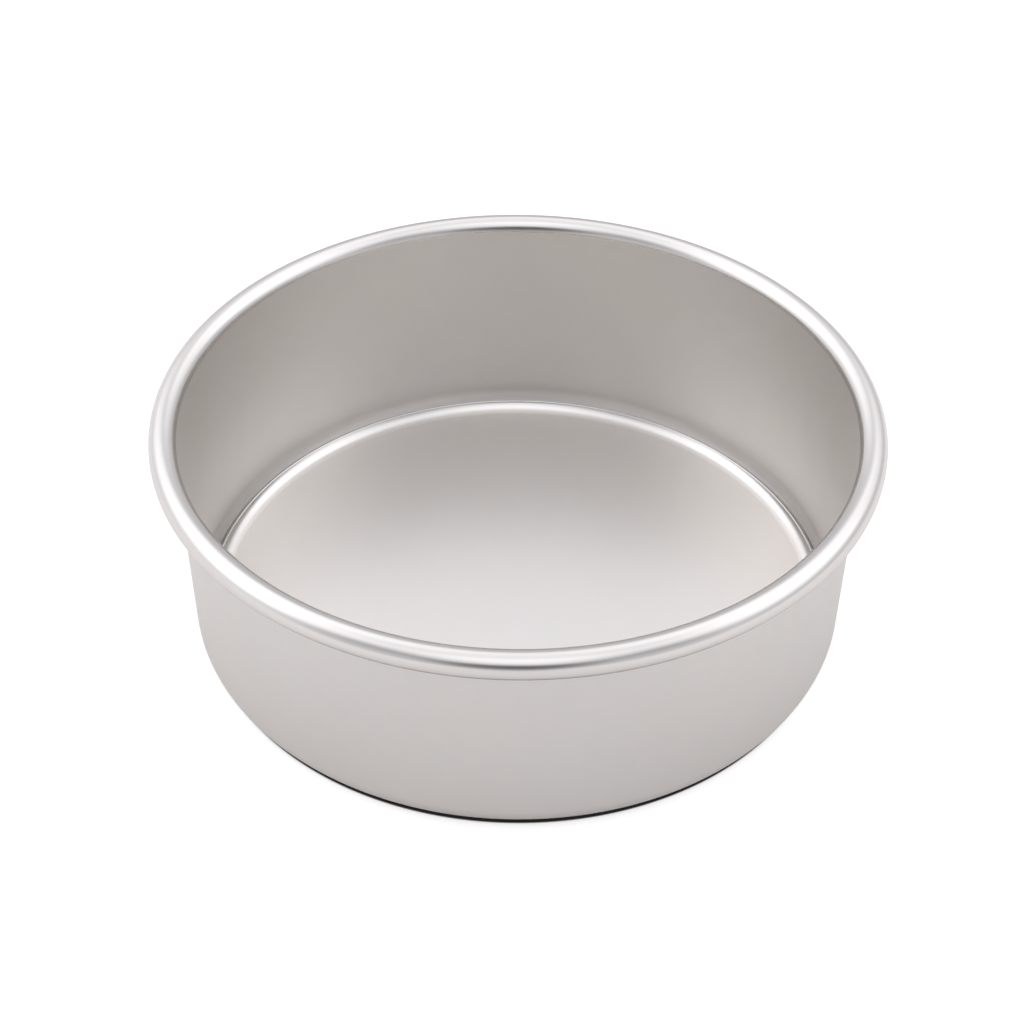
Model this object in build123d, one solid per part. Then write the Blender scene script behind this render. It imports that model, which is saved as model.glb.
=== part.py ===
from build123d import *
import os
from math import acos, cos, degrees, radians, sin, tan

# A round loose-bottomed cake tin of satin anodised aluminium. A spun shell carries a full round curl at its
# rim and an inward ledge at its foot. A pressed base plate with a turned-up edge lies on that ledge, inside the
# bend of the shell's foot, and lifts out through the top.
# Millimetres and degrees, +Z up. The origin is the centre of the ring on which the tin stands.

# Shell
rim_inside_diameter = 203.2
overall_height = 74.6
shell_thickness = 1.2
wall_draft = 1.85
foot_bend_radius = 7.3
ledge_width = 5

# Curl
curl_diameter = 8.3
curl_gap = 0.4

# Base plate
base_thickness = 1.2
base_clearance = 0.25
edge_bend_radius = 5.2
edge_angle = 60

# The curl's centre, and the foot of the wall's inner face, which meets the curl at a tangent
curl_radius = curl_diameter / 2
curl_centre_radius = rim_inside_diameter / 2 + curl_radius
curl_centre_height = overall_height - curl_radius
curl_centre = (curl_centre_radius, curl_centre_height)
wall_foot_radius = (
    curl_centre_radius
    - curl_radius / cos(radians(wall_draft))
    - (curl_centre_height - shell_thickness) * tan(radians(wall_draft))
)

# The flat of the ledge, which begins where the foot's bend ends
ledge_outer_radius = wall_foot_radius - foot_bend_radius * tan(radians(90 - wall_draft) / 2)
ledge_inner_radius = ledge_outer_radius - ledge_width

# The flat of the base plate, which ends at its clearance from the foot's bend, and the bend that lifts its edge
base_flat_radius = ledge_outer_radius - base_clearance
floor_height = shell_thickness + base_thickness
edge_centre = (base_flat_radius, floor_height + edge_bend_radius)


def shell_line(depth):
    """The shell's upper and inner face, or the line at a depth below it, from the ledge to the curl's end."""
    height = shell_thickness - depth
    bend = curl_radius - depth
    wall_top = curl_centre + bend * Vector(-cos(radians(wall_draft)), sin(radians(wall_draft)))
    wall_foot = (wall_top.X - (wall_top.Y - height) * tan(radians(wall_draft)), height)
    sheet = FilletPolyline((ledge_inner_radius, height), wall_foot, wall_top, radius=foot_bend_radius + depth)
    # The curl goes out over the top and ends just short of the wall's outer face.
    share_open = (curl_radius - shell_thickness - curl_gap) / curl_radius
    curl_sweep = 360 - degrees(acos(share_open))
    return sheet + CenterArc(curl_centre, bend, 180 - wall_draft, -curl_sweep)


def base_line(depth):
    """The base plate's upper face, or the line at a depth below it, from the centre to the turned-up edge."""
    height = floor_height - depth
    floor = Line((0, height), (base_flat_radius, height))
    return floor + CenterArc(edge_centre, edge_bend_radius + depth, -90, edge_angle)


def bent_sheet(line_at, thickness):
    """A sheet of one thickness all along, drawn as a section in the XZ plane and spun about the Z axis."""
    face = line_at(0)
    back = line_at(thickness)
    outline = face + back + Line(face @ 0, back @ 0) + Line(face @ 1, back @ 1)
    return revolve(make_face(Plane.XZ * outline), axis=Axis.Z)


def tin_body():
    """The shell: ledge, rounded foot, leaning wall and hollow curl, bent from one sheet."""
    return bent_sheet(shell_line, shell_thickness)


def loose_base():
    """The base plate: a flat floor whose edge bends upwards all round."""
    return bent_sheet(base_line, base_thickness)


os.makedirs("parts", exist_ok=True)
for make_piece in (tin_body, loose_base):
    export_step(make_piece(), f"parts/{make_piece.__name__}.step")
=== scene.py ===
from math import acos, cos, degrees, pi, radians, sin, sqrt, tan

import bmesh
import bpy
from bpy.props import FloatProperty, FloatVectorProperty, IntProperty, PointerProperty
from mathutils import Matrix, Vector


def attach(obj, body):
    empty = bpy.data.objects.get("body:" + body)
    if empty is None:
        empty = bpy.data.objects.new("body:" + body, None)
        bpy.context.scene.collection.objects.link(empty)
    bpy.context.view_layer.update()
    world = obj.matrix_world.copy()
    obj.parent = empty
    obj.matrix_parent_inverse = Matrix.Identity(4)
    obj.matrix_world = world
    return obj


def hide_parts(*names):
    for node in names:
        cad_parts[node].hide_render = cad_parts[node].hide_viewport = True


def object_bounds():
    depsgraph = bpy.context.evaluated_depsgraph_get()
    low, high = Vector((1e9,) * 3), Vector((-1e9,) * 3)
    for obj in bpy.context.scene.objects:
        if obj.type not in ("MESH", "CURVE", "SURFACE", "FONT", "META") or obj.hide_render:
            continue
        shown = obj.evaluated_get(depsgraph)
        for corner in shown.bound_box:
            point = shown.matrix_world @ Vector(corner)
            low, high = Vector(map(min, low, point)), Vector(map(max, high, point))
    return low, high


bl_info = {
    "name": "Round Cake Tin",
    "version": (1, 0, 0),
    "blender": (4, 5, 0),
    "location": "View3D > Sidebar > Cake Tin",
    "description": "Spins and finishes a loose-bottomed round cake tin and sets it in a plain studio",
    "category": "Object",
}

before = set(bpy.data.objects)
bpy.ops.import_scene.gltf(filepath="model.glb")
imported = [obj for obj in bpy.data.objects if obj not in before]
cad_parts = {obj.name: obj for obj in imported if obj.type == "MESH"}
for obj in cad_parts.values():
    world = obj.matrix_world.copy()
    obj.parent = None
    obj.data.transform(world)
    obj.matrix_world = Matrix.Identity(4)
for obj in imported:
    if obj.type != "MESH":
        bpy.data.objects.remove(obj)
CAD_LOW, CAD_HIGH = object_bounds()

# The photograph's camera, from a fit to the tin's outlines: how far the middle of the view lies off the
# picture's centre, in pixels, and the roll in radians. The rest of it is in the stage's settings.
IMAGE_SIDE = 1024
OFF_CENTRE = (-5.4, 18.3)
CAMERA_ROLL = 0.0084
SENSOR_WIDTH = 36.0

# Panels and flags of the soft light. Each has the azimuth and elevation of its middle and its reach from
# there, in degrees, and the share of the light that it adds or, below zero, takes away. Azimuth zero is the
# viewer's side, and 90 is the right.
PANELS = {
    "overhead_flag": (0, 90, 45, -0.1),
    "front_softbox": (0, 62, 35, 0.8),
    "front_flag": (0, 42, 28, -0.2),
    "front_low_flag": (0, 21, 27, -0.85),
    "front_right_flag": (45, 45, 30, -0.3),
    "front_left_flag": (-45, 45, 30, -0.3),
    "right_softbox": (90, 42, 35, 0.85),
    "left_softbox": (-90, 42, 35, 0.95),
    "back_right_softbox": (135, 42, 35, 0.6),
    "back_left_softbox": (-135, 42, 35, 0.7),
    "back_softbox": (180, 65, 35, 0.4),
    "front_right_low_flag": (40, 20, 30, -0.2),
    "front_left_low_flag": (-40, 20, 30, -0.2),
    "right_low_flag": (90, 12, 32, -0.2),
    "left_low_softbox": (-90, 12, 32, 0.2),
    "back_right_low_flag": (135, 12, 32, -0.2),
    "back_left_low_softbox": (-135, 12, 32, 0.1),
    "back_low_flag": (180, 12, 32, -0.25),
}

# Steps of the drawn section: degrees along an arc, pieces of a straight face, and pieces of a rounded corner,
# which are also the fewest of any arc
ARC_STEP = 4
STRAIGHT_STEPS = 12
CORNER_STEPS = 4

# The two coordinates of the turned section
RADIUS, HEIGHT = 0, 1

# Tints of the metal's clouds, the mottle's contrast, how much darker a sheared edge is than the faces, partly
# its own tone and partly painted shade that hides its highlight, and how much painted shade darkens the
# colour under the curl
WARM_TINT = (1.0, 0.99, 0.97)
COOL_TINT = (0.985, 0.99, 1.0)
MOTTLE = 0.02
SHEARED_DARK_AND_SHADE = 0.5
CURL_PAINTED_SHADE = 0.6

# How much the blur varies: over the clouds, over the spinning rings, on a sheared edge and on the rubbed foot
CLOUD_BLUR = 0.09
RING_BLUR = 0.03
SHEARED_BLUR = 0.25
RUBBED_BLUR = -0.10
RUBBED_HEIGHTS = (0.0009, 0.0001)

# Depth of the spinning rings, and the share of it that the light shows
RING_DEPTH = 0.00004
RING_STRENGTH = 0.03

# Lengths over which the finish changes: into a burnished edge, into a sheared edge, and into the painted
# shade under the curl, measured down from the curl's middle and outwards from the wall
BURNISH_FADE = 0.001
SHEAR_FADE = 0.0002
CURL_SHADE_DROPS = (0.0014, 0.0026)
CURL_SHADE_STEPS = (0.0008, 0.0018)

# The paper: half its side, its fibres, its tone in the contact shadow, and how many times the contact gap the
# gap is where that shadow ends
FLOOR_HALF = 3.0
FIBRES_PER_METRE = 900
FIBRE_TONE = 0.995
SHADOW_TONE = 0.02
SHADOW_FADE = 1.4

# The share of the paper's lift that the metal mirrors, before the tin and beside it, and the distances to the
# side between which it changes
MIRRORED_LIFT = (0.1, 0.24)
BESIDE_TIN = (0.06, 0.15)

SOFTBOX_SIZE = 0.9
SOFTBOX_PLACE = (0, -0.1, 1.5)


def linear(hex_colour):
    """An sRGB hex colour as the linear RGB that shaders take."""
    channels = [int(hex_colour[i : i + 2], 16) / 255 for i in (1, 3, 5)]
    return [c / 12.92 if c <= 0.04045 else ((c + 0.055) / 1.055) ** 2.4 for c in channels]


# Settings


def length(name, description, default, least=0.0):
    """A setting in metres, shown to a hundredth of a millimetre."""
    return FloatProperty(
        name=name, description=description, default=default, min=least, unit="LENGTH", precision=5
    )


def angle(name, description, default):
    return FloatProperty(name=name, description=description, default=default, min=0, subtype="ANGLE")


def share(name, description, default):
    return FloatProperty(name=name, description=description, default=default, min=0, max=1, subtype="FACTOR")


def colour_setting(name, description, hex_colour):
    return FloatVectorProperty(
        name=name, description=description, default=linear(hex_colour), subtype="COLOR", size=3, min=0, max=1
    )


class CAKETIN_PG_sizes(bpy.types.PropertyGroup):
    sheet: length("Sheet", "Thickness of the aluminium sheet", 0.0012, 0.0003)
    wall_draft: angle("Wall Draft", "Lean of the wall", radians(1.85))
    curl_diameter: length("Curl Diameter", "Thickness of the curl at the rim", 0.0083)
    curl_gap: length("Curl Gap", "Gap between the curl's end and the wall", 0.0004)
    foot_bend: length("Foot Bend", "Inside radius where the wall meets the ledge", 0.0073)
    ledge_width: length("Ledge Width", "Flat of the inward ledge at the foot", 0.005)
    base_clearance: length("Base Clearance", "From the plate's flat to the foot's bend", 0.00025)
    edge_bend: length("Edge Bend", "Inside radius of the plate's turned-up edge", 0.0052)
    edge_angle: angle("Edge Angle", "How far the plate's edge is turned up", radians(60))
    edge_round: length("Edge Rounding", "Radius on the sheet's cut edges", 0.0003)
    segments: IntProperty(name="Segments", description="Facets round the tin's axis", default=288, min=48)


class CAKETIN_PG_finish(bpy.types.PropertyGroup):
    colour: colour_setting("Colour", "Reflection of the anodised metal", "#E7E4E0")
    spun_roughness: share("Spun Roughness", "Blur of the shell's satin", 0.46)
    pressed_roughness: share("Pressed Roughness", "Blur of the plate's satin", 0.38)
    burnish: share("Burnished Roughness", "Blur where rollers turned an edge", 0.25)
    grain: length("Grain", "Size of the mottle that stands for the blast's grain", 0.006, 0.0001)
    marks: length("Spinning Marks", "Pitch of the faint rings", 0.0025, 0.0002)
    clouds: length("Clouding", "Size of the patches of uneven etch", 0.035, 0.005)


class CAKETIN_PG_stage(bpy.types.PropertyGroup):
    paper: colour_setting("Paper", "Colour of the paper that the tin stands on", "#E2E0DE")
    paper_lift: FloatProperty(
        name="Paper Lift", description="Light that keeps the paper white", default=0.57, min=0
    )
    contact_gap: length("Contact Gap", "Gap under the foot up to which the paper is dark", 0.0015)
    light: FloatProperty(name="Light", description="Level of the soft light all round", default=0.8, min=0)
    light_colour: colour_setting("Light Colour", "Slightly cool daylight", "#F9F9FF")
    softbox_power: FloatProperty(
        name="Softbox Power", description="Overhead softbox", default=0.15, min=0, unit="POWER"
    )
    view_elevation: angle("View Elevation", "Camera's angle above the horizon", 0.7030)
    view_distance: length("View Distance", "Camera to the tin", 0.7280, 0.3)
    lens: FloatProperty(name="Lens", description="Focal length", default=82.31, min=20, unit="CAMERA")


# Mesh


def arc(centre, radius, start, sweep):
    """Points along an arc in the section plane."""
    steps = max(CORNER_STEPS, round(abs(sweep) / ARC_STEP))
    angles = [radians(start + sweep * i / steps) for i in range(steps + 1)]
    return [(centre[0] + radius * cos(a), centre[1] + radius * sin(a)) for a in angles]


def shell_line(sizes, depth):
    """The shell's upper and inner face, or the line at a depth below it, from the ledge to the curl's end."""
    curl_radius = sizes.curl_diameter / 2
    centre = (CAD_HIGH.x - curl_radius, CAD_HIGH.z - curl_radius)
    draft = sizes.wall_draft
    bend = curl_radius - depth
    wall_top = (centre[0] - bend * cos(draft), centre[1] + bend * sin(draft))
    height = sizes.sheet - depth
    foot = sizes.foot_bend + depth
    corner = wall_top[0] - (wall_top[1] - height) * tan(draft)
    flat_end = corner - foot * tan((pi / 2 - draft) / 2)
    line = [(flat_end - sizes.ledge_width, height)]
    line += arc((flat_end, height + foot), foot, -90, 90 - degrees(draft))
    wall_foot = line[-1]
    line += [tuple(Vector(wall_foot).lerp(wall_top, i / STRAIGHT_STEPS)) for i in range(1, STRAIGHT_STEPS)]
    open_share = (curl_radius - sizes.sheet - sizes.curl_gap) / curl_radius
    line += arc(centre, bend, 180 - degrees(draft), degrees(acos(open_share)) - 360)
    return line


def base_line(sizes, depth):
    """The base plate's upper face, or the line at a depth below it, from the centre to the turned-up edge."""
    ledge_outer = shell_line(sizes, 0)[1][RADIUS]
    flat_radius = ledge_outer - sizes.base_clearance
    floor = 2 * sizes.sheet - depth
    line = [(flat_radius * i / STRAIGHT_STEPS, floor) for i in range(STRAIGHT_STEPS)]
    centre = (flat_radius, 2 * sizes.sheet + sizes.edge_bend)
    return line + arc(centre, sizes.edge_bend + depth, -90, degrees(sizes.edge_angle))


def rounded_end(face, back, radius):
    """The cut end of a sheet between its face's and its back's last points, with both corners rounded."""
    across = Vector(back[-1]) - Vector(face[-1])
    along = (Vector(face[-1]) - Vector(face[-2])).normalized()
    across.normalize()
    points = []
    for corner, side in ((Vector(face[-1]), across), (Vector(back[-1]), -across)):
        centre = corner - radius * along + radius * side
        turns = [radians(90 * i / CORNER_STEPS) for i in range(CORNER_STEPS + 1)]
        bend = [centre - radius * cos(t) * side + radius * sin(t) * along for t in turns]
        points += bend if side is across else bend[::-1]
    return [tuple(p) for p in points]


def sheet_section(face, back, radius):
    """The closed outline of a sheet. A line that starts on the axis isn't rounded there."""
    far_end = rounded_end(face, back, radius)
    if face[0][RADIUS] == 0:
        return face[:-1] + far_end + back[:-1][::-1]
    near_end = rounded_end(face[::-1], back[::-1], radius)[::-1]
    return face[1:-1] + far_end + back[1:-1][::-1] + near_end


def spin(name, section, segments):
    """Spin a closed outline of (radius, height) points about the Z axis into a smooth mesh."""
    mesh = bpy.data.meshes.new(name)
    form = bmesh.new()
    rings = []
    for radius, height in section:
        count = 1 if radius == 0 else segments
        turns = [2 * pi * i / segments for i in range(count)]
        rings.append([form.verts.new((radius * cos(t), radius * sin(t), height)) for t in turns])
    for low, high in zip(rings, rings[1:] + rings[:1]):
        if len(low) == len(high) == 1:
            continue
        for i in range(segments):
            corners = [ring[k % len(ring)] for ring, k in ((low, i), (low, i + 1), (high, i + 1), (high, i))]
            form.faces.new(list(dict.fromkeys(corners)))
    bmesh.ops.recalc_face_normals(form, faces=form.faces)
    form.to_mesh(mesh)
    form.free()
    mesh.shade_smooth()
    piece = bpy.data.objects.new(name, mesh)
    bpy.context.scene.collection.objects.link(piece)
    return piece


# Materials


def add_node(tree, kind, settings=None, inputs=None):
    """Add a node of that kind, set its properties, and set or link each input, by its name or its index."""
    node = tree.nodes.new(kind)
    for name, value in (settings or {}).items():
        setattr(node, name, value)
    for key, value in (inputs or {}).items():
        if isinstance(value, bpy.types.NodeSocket):
            tree.links.new(value, node.inputs[key])
        else:
            node.inputs[key].default_value = value
    return node


def calculate(tree, operation, *values):
    """The result of a math node on values or sockets."""
    return add_node(tree, "ShaderNodeMath", {"operation": operation}, dict(enumerate(values))).outputs[0]


def fade(tree, value, start, end, low=0.0, high=1.0):
    """A smooth change from low to high while the value goes from start to end."""
    limits = {"Value": value, "From Min": start, "From Max": end, "To Min": low, "To Max": high}
    return add_node(tree, "ShaderNodeMapRange", {"interpolation_type": "SMOOTHSTEP"}, limits).outputs[0]


def noise(tree, place, size, detail, settings=None):
    """Noise from 0 to 1 with features of that size in metres."""
    inputs = {"Vector": place, "Scale": 1 / size, "Detail": detail}
    return add_node(tree, "ShaderNodeTexNoise", settings, inputs).outputs["Fac"]


def new_material(name):
    material = bpy.data.materials.new(name)
    material.use_nodes = True
    material.node_tree.nodes.clear()
    return material, material.node_tree


def satin_anodised_aluminium(name, finish, roughness, burnished, sheared, curl_shade=None):
    """Spun or pressed sheet, blasted to an even satin and anodised clear.

    The blast blurs reflections into broad soft tones, more so on the spun shell than on the pressed plate.
    The oxide keeps a slightly warm grey. The etch is a little uneven, which shows as faint clouds, and the
    spinning tool's rings only just show. The rollers that turn an edge burnish it, so that it mirrors the
    room more sharply. A sheared edge is duller than the faces and darker, partly in its own tone and partly
    as painted shade that hides its highlight. Under the curl the colour is darkened as painted shade, and
    the bottom of the foot is rubbed smoother.

    Each zone is RADIUS or HEIGHT and the values between which the change runs. The painted shade under the
    curl is two of them, and lies where both hold.
    """
    material, tree = new_material(name)
    place = add_node(tree, "ShaderNodeTexCoord").outputs["Object"]
    parts = add_node(tree, "ShaderNodeSeparateXYZ", inputs={0: place})
    flat = add_node(tree, "ShaderNodeCombineXYZ", inputs={"X": parts.outputs["X"], "Y": parts.outputs["Y"]})
    radius = add_node(tree, "ShaderNodeVectorMath", {"operation": "LENGTH"}, {0: flat.outputs[0]})
    section = {RADIUS: radius.outputs["Value"], HEIGHT: parts.outputs["Z"]}

    def zone(coordinate, start, end):
        return fade(tree, section[coordinate], start, end)

    def plus(base, amount, part):
        """Base plus amount times part."""
        return calculate(tree, "MULTIPLY_ADD", part, amount, base)

    clouds = noise(tree, place, finish.clouds, 3.0)
    # The real grain is about 0.1 mm. It is drawn as a mottle that the picture can hold.
    grain = noise(tree, place, finish.grain, 1.0)
    turned = add_node(tree, "ShaderNodeCombineXYZ", inputs={"X": section[RADIUS], "Y": section[HEIGHT]})
    rings = noise(tree, turned.outputs[0], finish.marks, 1.0, {"noise_dimensions": "2D"})

    warm, cool = [
        [channel * part for channel, part in zip(finish.colour, tint)] + [1.0]
        for tint in (WARM_TINT, COOL_TINT)
    ]
    colour = add_node(tree, "ShaderNodeMix", {"data_type": "RGBA"}, {"Factor": clouds, "A": warm, "B": cool})
    cut = zone(*sheared)
    value = plus(1 - MOTTLE / 2, MOTTLE, grain)
    # The sheared edge is darkened, partly in its own tone and partly as painted shade that hides its
    # highlight.
    value = plus(value, -SHEARED_DARK_AND_SHADE, cut)
    # Painted shade: the colour under the curl is darkened where shade falls between curl and wall.
    if curl_shade:
        painted_shade = calculate(tree, "MULTIPLY", zone(*curl_shade[0]), zone(*curl_shade[1]))
        value = plus(value, -CURL_PAINTED_SHADE, painted_shade)
    colour = add_node(
        tree, "ShaderNodeVectorMath", {"operation": "SCALE"}, {0: colour.outputs["Result"], "Scale": value}
    )

    # Clouds and rings vary the blur about its middle.
    rough = plus(roughness - (CLOUD_BLUR + RING_BLUR) / 2, CLOUD_BLUR, clouds)
    rough = plus(rough, RING_BLUR, rings)
    rolled = zone(*burnished[0])
    for other in burnished[1:]:
        rolled = calculate(tree, "MAXIMUM", rolled, zone(*other))
    rough = plus(rough, finish.burnish - roughness, rolled)
    rough = plus(rough, SHEARED_BLUR, cut)
    rough = plus(rough, RUBBED_BLUR, zone(HEIGHT, *RUBBED_HEIGHTS))
    relief = {"Strength": RING_STRENGTH, "Distance": RING_DEPTH, "Height": rings}
    bump = add_node(tree, "ShaderNodeBump", inputs=relief)
    shader = add_node(
        tree, "ShaderNodeBsdfPrincipled",
        inputs={
            "Base Color": colour.outputs["Vector"],
            "Metallic": 1.0,
            "Roughness": rough,
            "Normal": bump.outputs[0],
        },
    )
    add_node(tree, "ShaderNodeOutputMaterial", inputs={"Surface": shader.outputs[0]})
    return material


def white_paper(name, colour, lift, shadow):
    """A smooth paper sweep, white to its edges, with the tin's shadow drawn in where the two come closest.

    The lift keeps the paper white where soft light alone would leave it grey. It is weaker in what the metal
    mirrors, and weakest before the tin, where less light falls than beside it. The contact shadow is the thin
    dark line where foot and paper nearly touch. It is given as the radii where it is full and where it has
    ended, first inwards and then outwards.
    """
    material, tree = new_material(name)
    place = add_node(tree, "ShaderNodeTexCoord").outputs["Object"]
    fibres = noise(tree, place, 1 / FIBRES_PER_METRE, 2.0)
    tone = add_node(
        tree, "ShaderNodeMix", {"data_type": "RGBA"},
        {"Factor": fibres, "A": [c * FIBRE_TONE for c in colour] + [1.0], "B": list(colour) + [1.0]},
    )
    away = add_node(tree, "ShaderNodeVectorMath", {"operation": "LENGTH"}, {0: place}).outputs["Value"]
    inside = fade(tree, away, *shadow[:2], low=SHADOW_TONE)
    outside = fade(tree, away, *shadow[2:], low=SHADOW_TONE)
    open_share = calculate(tree, "MAXIMUM", inside, outside)
    shaded = add_node(
        tree, "ShaderNodeMix", {"data_type": "RGBA", "blend_type": "MULTIPLY"},
        {"Factor": 1.0, "A": tone.outputs["Result"], "B": open_share},
    )
    paper = add_node(tree, "ShaderNodeBsdfDiffuse", inputs={"Color": shaded.outputs["Result"]})
    across = add_node(tree, "ShaderNodeSeparateXYZ", inputs={0: place}).outputs["X"]
    mirrored = fade(tree, calculate(tree, "ABSOLUTE", across), *BESIDE_TIN, *MIRRORED_LIFT)
    ray = add_node(tree, "ShaderNodeLightPath")
    by_metal, by_camera = ray.outputs["Is Glossy Ray"], ray.outputs["Is Camera Ray"]
    seen = calculate(tree, "MULTIPLY_ADD", by_metal, mirrored, by_camera)
    glow = calculate(tree, "MULTIPLY", calculate(tree, "MULTIPLY", seen, lift), open_share)
    light = add_node(tree, "ShaderNodeEmission", inputs={"Strength": glow})
    both = add_node(tree, "ShaderNodeAddShader", inputs={0: paper.outputs[0], 1: light.outputs[0]})
    add_node(tree, "ShaderNodeOutputMaterial", inputs={"Surface": both.outputs[0]})
    return material


# Stage


def make_floor(sizes, stage):
    """A wide sheet of paper with the contact shadow under the foot.

    Inwards the shadow ends at the ledge's edge. Outwards it ends where the foot's bend has risen too far.
    """
    half = FLOOR_HALF
    mesh = bpy.data.meshes.new("paper_floor")
    corners = [(-half, -half, 0), (half, -half, 0), (half, half, 0), (-half, half, 0)]
    mesh.from_pydata(corners, [], [(0, 1, 2, 3)])
    ledge_inner, ledge_outer = (point[RADIUS] for point in shell_line(sizes, 0)[:2])
    outer_bend = sizes.foot_bend + sizes.sheet
    gaps = (stage.contact_gap, SHADOW_FADE * stage.contact_gap)
    risen = [ledge_outer + sqrt(gap * (2 * outer_bend - gap)) for gap in gaps]
    shadow = (ledge_inner, ledge_inner - stage.contact_gap, *risen)
    mesh.materials.append(white_paper("white_paper_sweep", stage.paper, stage.paper_lift, shadow))
    floor = bpy.data.objects.new("paper_floor", mesh)
    bpy.context.scene.collection.objects.link(floor)


def light_world(scene, stage):
    """Soft light all round, with brighter panels above the tin and dark flags where the room is dark."""
    world = bpy.data.worlds.new("studio")
    world.use_nodes = True
    tree = world.node_tree
    tree.nodes.clear()
    direction = add_node(tree, "ShaderNodeTexCoord").outputs["Generated"]
    level = stage.light
    for azimuth, elevation, reach, part in PANELS.values():
        flat = cos(radians(elevation))
        centre = (flat * sin(radians(azimuth)), -flat * cos(radians(azimuth)), sin(radians(elevation)))
        inputs = {0: direction, 1: centre}
        towards = add_node(tree, "ShaderNodeVectorMath", {"operation": "DOT_PRODUCT"}, inputs)
        panel = fade(tree, towards.outputs["Value"], cos(radians(reach)), 1.0, high=part * stage.light)
        level = calculate(tree, "ADD", level, panel)
    level = calculate(tree, "MAXIMUM", level, 0.0)
    # The camera sees the backdrop as white.
    seen = add_node(tree, "ShaderNodeLightPath").outputs["Is Camera Ray"]
    shown = calculate(tree, "MAXIMUM", level, seen)
    tint = add_node(
        tree, "ShaderNodeMix", {"data_type": "RGBA"},
        {"Factor": seen, "A": list(stage.light_colour) + [1.0], "B": (1.0, 1.0, 1.0, 1.0)},
    )
    background = add_node(
        tree, "ShaderNodeBackground", inputs={"Color": tint.outputs["Result"], "Strength": shown}
    )
    add_node(tree, "ShaderNodeOutputWorld", inputs={"Surface": background.outputs[0]})
    scene.world = world


def hang_softbox(power):
    lamp = bpy.data.lights.new("overhead_softbox", "AREA")
    lamp.shape = "DISK"
    lamp.size = SOFTBOX_SIZE
    lamp.energy = power
    softbox = bpy.data.objects.new("overhead_softbox", lamp)
    softbox.location = SOFTBOX_PLACE
    bpy.context.scene.collection.objects.link(softbox)


def place_camera(scene, stage):
    """Look down at the tin from the front, as the photograph does, with its slight roll.

    The camera looks at the tin's axis, a quarter of the outer radius above the ground.
    """
    camera = bpy.data.cameras.new("camera")
    camera.sensor_width = SENSOR_WIDTH
    camera.lens = stage.lens
    camera.shift_x, camera.shift_y = [pixels / IMAGE_SIDE for pixels in OFF_CENTRE]
    back = Vector((0, -cos(stage.view_elevation), sin(stage.view_elevation)))
    aim = Vector((0, 0, CAD_HIGH.x / 4))
    looker = bpy.data.objects.new("camera", camera)
    looker.location = aim + back * stage.view_distance
    looker.rotation_mode = "QUATERNION"
    roll = Matrix.Rotation(CAMERA_ROLL, 3, "Z").to_quaternion()
    looker.rotation_quaternion = (-back).to_track_quat("-Z", "Y") @ roll
    scene.collection.objects.link(looker)
    scene.camera = looker


# Operators and panel


class CAKETIN_OT_shell(bpy.types.Operator):
    """Spin the shell: ledge, foot, wall and curl from one sheet"""

    bl_idname = "caketin.shell"
    bl_label = "Spin Shell"

    def execute(self, context):
        sizes = context.scene.caketin_sizes
        line = shell_line(sizes, 0)
        section = sheet_section(line, shell_line(sizes, sizes.sheet), sizes.edge_round)
        shell = spin("spun_shell", section, sizes.segments)
        ledge_edge = line[0][RADIUS]
        curl_height = CAD_HIGH.z - sizes.curl_diameter / 2
        wall_outside = CAD_HIGH.x - sizes.curl_diameter + sizes.sheet
        finish = context.scene.caketin_finish
        metal = satin_anodised_aluminium(
            "satin_anodised_shell", finish, finish.spun_roughness,
            burnished=(
                (HEIGHT, curl_height, curl_height + BURNISH_FADE),
                (RADIUS, wall_outside, wall_outside + BURNISH_FADE),
            ),
            # Where the painted shade under the curl lies
            sheared=(RADIUS, ledge_edge, ledge_edge - SHEAR_FADE),
            curl_shade=(
                (HEIGHT, *(curl_height - drop for drop in CURL_SHADE_DROPS)),
                (RADIUS, *(wall_outside + step for step in CURL_SHADE_STEPS)),
            ),
        )
        shell.data.materials.append(metal)
        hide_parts("tin_body")
        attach(shell, "tin")
        return {"FINISHED"}


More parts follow.
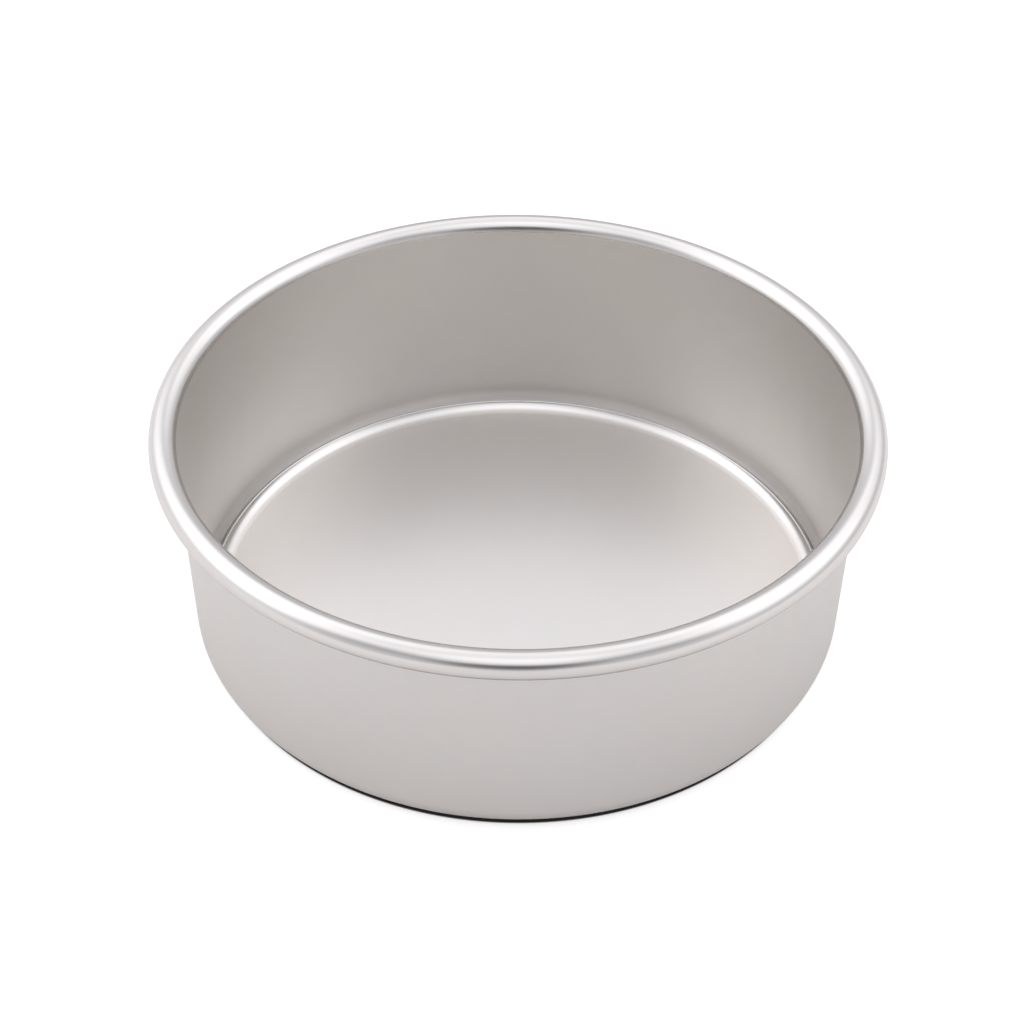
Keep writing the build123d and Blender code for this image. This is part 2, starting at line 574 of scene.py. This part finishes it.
class CAKETIN_OT_base(bpy.types.Operator):
    """Press the loose base plate with its turned-up edge"""

    bl_idname = "caketin.base"
    bl_label = "Press Base"

    def execute(self, context):
        sizes = context.scene.caketin_sizes
        line = base_line(sizes, 0)
        section = sheet_section(line, base_line(sizes, sizes.sheet), sizes.edge_round)
        base = spin("pressed_base", section, sizes.segments)
        bend_start = line[STRAIGHT_STEPS][RADIUS]
        edge_top = line[-1][RADIUS]
        finish = context.scene.caketin_finish
        metal = satin_anodised_aluminium(
            "satin_anodised_base", finish, finish.pressed_roughness,
            burnished=((RADIUS, bend_start, bend_start + BURNISH_FADE),),
            sheared=(RADIUS, edge_top, edge_top + SHEAR_FADE),
        )
        base.data.materials.append(metal)
        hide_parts("loose_base")
        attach(base, "base")
        return {"FINISHED"}


class CAKETIN_OT_stage(bpy.types.Operator):
    """Set the floor, the light and the camera"""

    bl_idname = "caketin.stage"
    bl_label = "Set Stage"

    def execute(self, context):
        stage = context.scene.caketin_stage
        make_floor(context.scene.caketin_sizes, stage)
        light_world(context.scene, stage)
        hang_softbox(stage.softbox_power)
        place_camera(context.scene, stage)
        context.scene.view_settings.view_transform = "Standard"
        return {"FINISHED"}


class CAKETIN_PT_panel(bpy.types.Panel):
    bl_idname = "CAKETIN_PT_panel"
    bl_label = "Cake Tin"
    bl_space_type = "VIEW_3D"
    bl_region_type = "UI"
    bl_category = "Cake Tin"

    def draw(self, context):
        for group in GROUPS:
            settings = getattr(context.scene, group)
            for name in settings.__annotations__:
                self.layout.prop(settings, name)
        for operator in (CAKETIN_OT_shell, CAKETIN_OT_base, CAKETIN_OT_stage):
            self.layout.operator(operator.bl_idname)


GROUPS = {
    "caketin_sizes": CAKETIN_PG_sizes,
    "caketin_finish": CAKETIN_PG_finish,
    "caketin_stage": CAKETIN_PG_stage,
}
CLASSES = (*GROUPS.values(), CAKETIN_OT_shell, CAKETIN_OT_base, CAKETIN_OT_stage, CAKETIN_PT_panel)


def register():
    for cls in CLASSES:
        bpy.utils.register_class(cls)
    for name, group in GROUPS.items():
        setattr(bpy.types.Scene, name, PointerProperty(type=group))


def unregister():
    for name in GROUPS:
        delattr(bpy.types.Scene, name)
    for cls in reversed(CLASSES):
        bpy.utils.unregister_class(cls)


def main():
    register()
    bpy.ops.caketin.shell()
    bpy.ops.caketin.base()
    bpy.ops.caketin.stage()


if __name__ == "__main__":
    main()
